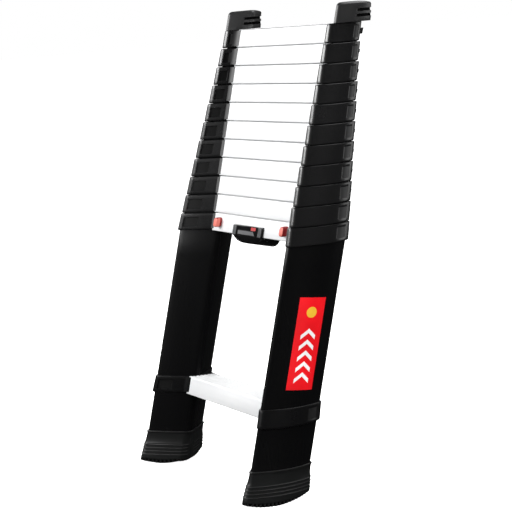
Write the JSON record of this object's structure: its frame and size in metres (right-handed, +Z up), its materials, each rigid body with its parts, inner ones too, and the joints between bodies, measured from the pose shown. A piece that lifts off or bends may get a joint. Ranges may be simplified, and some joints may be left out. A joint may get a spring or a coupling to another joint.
{
  "type": "telescoping ladder",
  "caption": "Telescoping ladder with nested triangular tubes, stacked collars and treads, thumb release buttons, carry handle, rubber feet and top caps.",
  "frame": {"origin": "on the floor, midway between the two stiles and under the middle of the whole ladder from front to back", "axes": "+X across the ladder to the right of a climber facing it, +Y towards the wall it leans on, +Z up; the stiles lean 15 degrees from +Z towards +Y"},
  "size_m": [0.5152, 0.3048, 0.8042],
  "materials": {
    "black_tube": "satin black anodised aluminium tube",
    "black_collar": "black moulded nylon with a soft gloss",
    "satin_aluminium": "satin natural aluminium extrusion with brushed grain",
    "black_rubber": "matt black moulded rubber",
    "cap_rubber": "dark grey moulded rubber",
    "red_plastic": "red moulded plastic",
    "black_plastic": "black moulded plastic",
    "window_plastic": "smoked grey window",
    "steel": "zinc plated steel",
    "label_red": "printed red vinyl label"
  },
  "bodies": {
    "base": {"section_1_tubes": "black_tube", "section_1_collars": "black_collar", "bottom_collars": "black_collar", "rung_1": "satin_aluminium", "rung_2": "satin_aluminium", "left_foot": "black_rubber", "right_foot": "black_rubber", "spring_seats": "black_plastic", "centre_housing": "black_plastic", "indicator_window": "window_plastic", "carry_handle": "black_plastic", "handle_screws": "steel", "side_label": "label_red"},
    "section_2": {"section_2_tubes": "black_tube", "section_2_collars": "black_collar", "rung_3": "satin_aluminium", "rung_3_lock_pins": "steel"},
    "section_3": {"section_3_tubes": "black_tube", "section_3_collars": "black_collar", "rung_4": "satin_aluminium", "rung_4_lock_pins": "steel"},
    "section_4": {"section_4_tubes": "black_tube", "section_4_collars": "black_collar", "rung_5": "satin_aluminium", "rung_5_lock_pins": "steel"},
    "section_5": {"section_5_tubes": "black_tube", "section_5_collars": "black_collar", "rung_6": "satin_aluminium", "rung_6_lock_pins": "steel"},
    "section_6": {"section_6_tubes": "black_tube", "section_6_collars": "black_collar", "rung_7": "satin_aluminium", "rung_7_lock_pins": "steel"},
    "section_7": {"section_7_tubes": "black_tube", "section_7_collars": "black_collar", "rung_8": "satin_aluminium", "rung_8_lock_pins": "steel"},
    "section_8": {"section_8_tubes": "black_tube", "section_8_collars": "black_collar", "rung_9": "satin_aluminium", "rung_9_lock_pins": "steel"},
    "section_9": {"section_9_tubes": "black_tube", "section_9_collars": "black_collar", "rung_10": "satin_aluminium", "rung_10_lock_pins": "steel"},
    "section_10": {"section_10_tubes": "black_tube", "section_10_collars": "black_collar", "rung_11": "satin_aluminium", "rung_11_lock_pins": "steel"},
    "section_11": {"section_11_tubes": "black_tube", "section_11_collars": "black_collar", "rung_12": "satin_aluminium", "left_top_cap": "cap_rubber", "right_top_cap": "cap_rubber"},
    "left_release": {"left_release_button": "red_plastic", "left_lock_pin": "steel", "left_release_spring": "steel"},
    "right_release": {"right_release_button": "red_plastic", "right_lock_pin": "steel", "right_release_spring": "steel"}
  },
  "joints": [
    {"name": "section_2_slide", "type": "slide", "parent": "base", "child": "section_2", "axis": [0, 0.2588, 0.9659], "range_m": [0, 0.26638]},
    {"name": "section_3_slide", "type": "slide", "parent": "section_2", "child": "section_3", "axis": [0, 0.2588, 0.9659], "range_m": [0, 0.26638]},
    {"name": "section_4_slide", "type": "slide", "parent": "section_3", "child": "section_4", "axis": [0, 0.2588, 0.9659], "range_m": [0, 0.26638]},
    {"name": "section_5_slide", "type": "slide", "parent": "section_4", "child": "section_5", "axis": [0, 0.2588, 0.9659], "range_m": [0, 0.26638]},
    {"name": "section_6_slide", "type": "slide", "parent": "section_5", "child": "section_6", "axis": [0, 0.2588, 0.9659], "range_m": [0, 0.26638]},
    {"name": "section_7_slide", "type": "slide", "parent": "section_6", "child": "section_7", "axis": [0, 0.2588, 0.9659], "range_m": [0, 0.26638]},
    {"name": "section_8_slide", "type": "slide", "parent": "section_7", "child": "section_8", "axis": [0, 0.2588, 0.9659], "range_m": [0, 0.26638]},
    {"name": "section_9_slide", "type": "slide", "parent": "section_8", "child": "section_9", "axis": [0, 0.2588, 0.9659], "range_m": [0, 0.26638]},
    {"name": "section_10_slide", "type": "slide", "parent": "section_9", "child": "section_10", "axis": [0, 0.2588, 0.9659], "range_m": [0, 0.26638]},
    {"name": "section_11_slide", "type": "slide", "parent": "section_10", "child": "section_11", "axis": [0, 0.2588, 0.9659], "range_m": [0, 0.26638]},
    {"name": "left_button_slide", "type": "slide", "parent": "base", "child": "left_release", "axis": [1, 0, 0], "range_m": [0, 0.007], "stiffness_N_per_m": 150, "springref_m": -0.01},
    {"name": "right_button_slide", "type": "slide", "parent": "base", "child": "right_release", "axis": [-1, 0, 0], "range_m": [0, 0.007], "stiffness_N_per_m": 150, "springref_m": -0.01}
  ]
}
